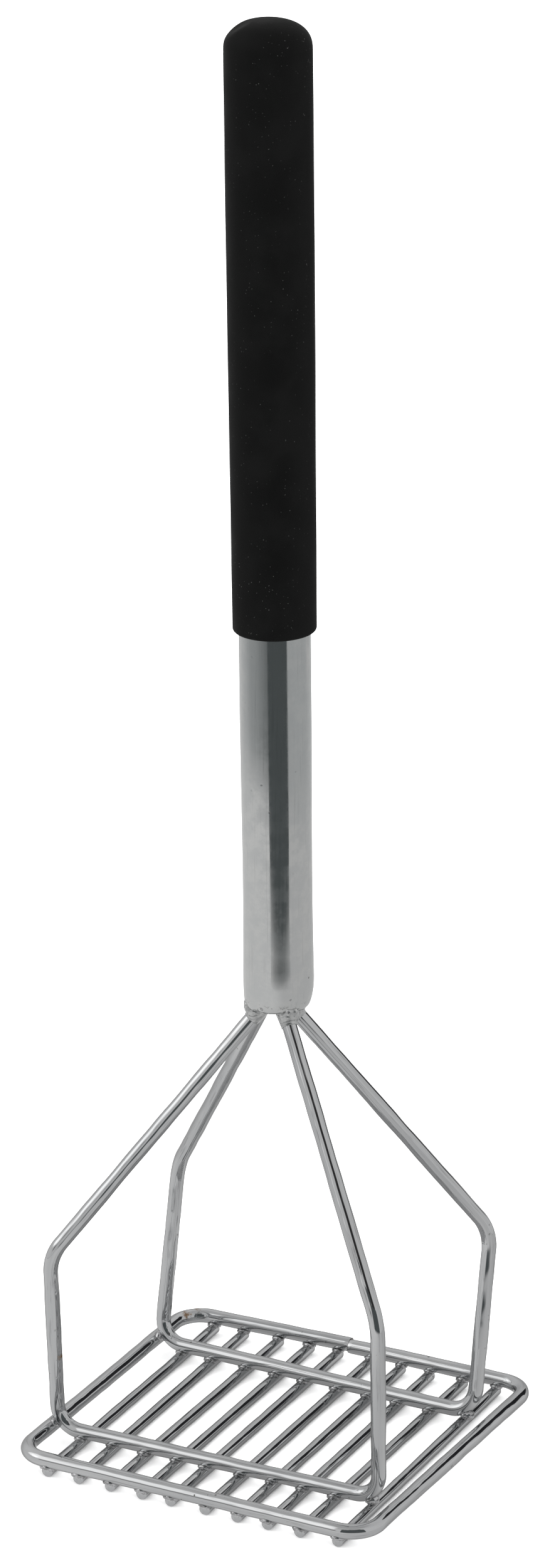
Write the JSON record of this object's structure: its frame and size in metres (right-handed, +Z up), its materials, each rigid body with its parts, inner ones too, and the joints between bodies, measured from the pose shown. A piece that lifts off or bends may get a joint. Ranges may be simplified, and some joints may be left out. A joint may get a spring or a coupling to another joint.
{
  "type": "potato masher",
  "caption": "Square-faced hand masher: a wire rim with parallel mashing bars, two bent wire bails, a plated tube handle and a matte black slip-on grip.",
  "frame": {"origin": "centre of the square head, on the plane the bars' undersides rest on", "axes": "+Z up along the handle, +Y along the mashing bars from their cut front ends to their rear ends, +X to the right across the bars"},
  "size_m": [0.1291, 0.1245, 0.4577],
  "materials": {
    "wire": "bright chrome plate on drawn wire, a little pitted",
    "tube": "dull plated tube with fine lengthwise draw marks",
    "weld": "lumpy weld metal, plated over",
    "grip": "matte black vinyl, slightly dusty"
  },
  "bodies": {
    "root": {"rim_ring": "wire", "front_bail": "wire", "rear_bail": "wire", "mashing_bar_01": "wire", "mashing_bar_02": "wire", "mashing_bar_03": "wire", "mashing_bar_04": "wire", "mashing_bar_05": "wire", "mashing_bar_06": "wire", "mashing_bar_07": "wire", "mashing_bar_08": "wire", "mashing_bar_09": "wire", "mashing_bar_10": "wire", "weld_rim_front_01": "weld", "weld_rim_front_02": "weld", "weld_rim_front_03": "weld", "weld_rim_front_04": "weld", "weld_rim_front_05": "weld", "weld_rim_front_06": "weld", "weld_rim_front_07": "weld", "weld_rim_front_08": "weld", "weld_rim_front_09": "weld", "weld_rim_front_10": "weld", "weld_bail_front_01": "weld", "weld_bail_front_02": "weld", "weld_bail_front_03": "weld", "weld_bail_front_04": "weld", "weld_bail_front_05": "weld", "weld_bail_front_06": "weld", "weld_bail_front_07": "weld", "weld_bail_front_08": "weld", "weld_bail_front_09": "weld", "weld_bail_rear_01": "weld", "weld_bail_rear_02": "weld", "weld_bail_rear_03": "weld", "weld_bail_rear_04": "weld", "weld_bail_rear_05": "weld", "weld_bail_rear_06": "weld", "weld_bail_rear_07": "weld", "weld_bail_rear_08": "weld", "weld_bail_rear_09": "weld", "weld_rim_rear_01": "weld", "weld_rim_rear_02": "weld", "weld_rim_rear_03": "weld", "weld_rim_rear_04": "weld", "weld_rim_rear_05": "weld", "weld_rim_rear_06": "weld", "weld_rim_rear_07": "weld", "weld_rim_rear_08": "weld", "weld_rim_rear_09": "weld", "weld_rim_rear_10": "weld", "weld_corner_front_left": "weld", "weld_corner_rear_left": "weld", "weld_corner_front_right": "weld", "weld_corner_rear_right": "weld", "tube_end_braze": "weld", "handle_tube": "tube", "grip": "grip"}
  },
  "joints": []
}
